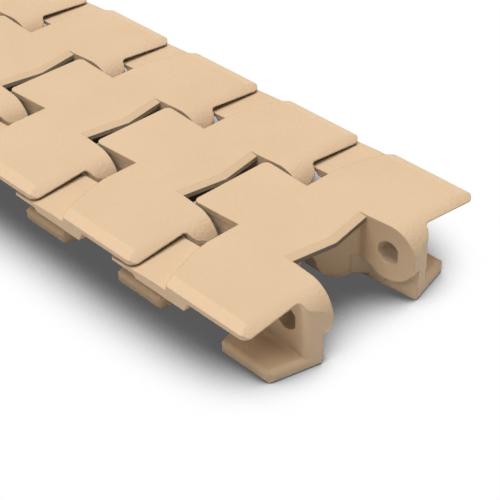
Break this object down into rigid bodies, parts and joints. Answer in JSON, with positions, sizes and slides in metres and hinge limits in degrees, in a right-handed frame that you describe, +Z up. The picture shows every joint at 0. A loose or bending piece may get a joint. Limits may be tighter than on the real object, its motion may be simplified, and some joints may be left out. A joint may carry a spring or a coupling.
{
  "type": "slat top chain",
  "caption": "Straight length of side-flexing slat top conveyor chain: moulded tan links with hold-down tabs, hinged on D-section steel pins.",
  "frame": {"origin": "middle of the chain's bounding box in plan, at the level of the tab soles", "axes": "+X across the chain, +Y along it towards its trailing end, +Z up out of the carrying face"},
  "size_m": [0.079, 0.4348, 0.0205],
  "materials": {
    "link_plastic": "matte moulded plastic, tan; acetal is assumed",
    "pin_steel": null
  },
  "bodies": {
    "body_01": {"link_01": "link_plastic"},
    "body_02": {"link_02": "link_plastic", "pin_01": "pin_steel"},
    "body_03": {"link_03": "link_plastic", "pin_02": "pin_steel"},
    "body_04": {"link_04": "link_plastic", "pin_03": "pin_steel"},
    "body_05": {"link_05": "link_plastic", "pin_04": "pin_steel"},
    "body_06": {"link_06": "link_plastic", "pin_05": "pin_steel"},
    "body_07": {"link_07": "link_plastic", "pin_06": "pin_steel"},
    "body_08": {"link_08": "link_plastic", "pin_07": "pin_steel"},
    "body_09": {"link_09": "link_plastic", "pin_08": "pin_steel"},
    "body_10": {"link_10": "link_plastic", "pin_09": "pin_steel"},
    "body_11": {"link_11": "link_plastic", "pin_10": "pin_steel"}
  },
  "joints": [
    {"name": "hinge_01", "type": "hinge", "parent": "body_01", "child": "body_02", "pos_m": [0, -0.17125, 0.0125], "axis": [1, 0, 0], "range_deg": [-32, 5]},
    {"name": "hinge_02", "type": "hinge", "parent": "body_02", "child": "body_03", "pos_m": [0, -0.13315, 0.0125], "axis": [1, 0, 0], "range_deg": [-32, 5]},
    {"name": "hinge_03", "type": "hinge", "parent": "body_03", "child": "body_04", "pos_m": [0, -0.09505, 0.0125], "axis": [1, 0, 0], "range_deg": [-32, 5]},
    {"name": "hinge_04", "type": "hinge", "parent": "body_04", "child": "body_05", "pos_m": [0, -0.05695, 0.0125], "axis": [1, 0, 0], "range_deg": [-32, 5]},
    {"name": "hinge_05", "type": "hinge", "parent": "body_05", "child": "body_06", "pos_m": [0, -0.01885, 0.0125], "axis": [1, 0, 0], "range_deg": [-32, 5]},
    {"name": "hinge_06", "type": "hinge", "parent": "body_06", "child": "body_07", "pos_m": [0, 0.01925, 0.0125], "axis": [1, 0, 0], "range_deg": [-32, 5]},
    {"name": "hinge_07", "type": "hinge", "parent": "body_07", "child": "body_08", "pos_m": [0, 0.05735, 0.0125], "axis": [1, 0, 0], "range_deg": [-32, 5]},
    {"name": "hinge_08", "type": "hinge", "parent": "body_08", "child": "body_09", "pos_m": [0, 0.09545, 0.0125], "axis": [1, 0, 0], "range_deg": [-32, 5]},
    {"name": "hinge_09", "type": "hinge", "parent": "body_09", "child": "body_10", "pos_m": [0, 0.13355, 0.0125], "axis": [1, 0, 0], "range_deg": [-32, 5]},
    {"name": "hinge_10", "type": "hinge", "parent": "body_10", "child": "body_11", "pos_m": [0, 0.17165, 0.0125], "axis": [1, 0, 0], "range_deg": [-32, 5]}
  ]
}
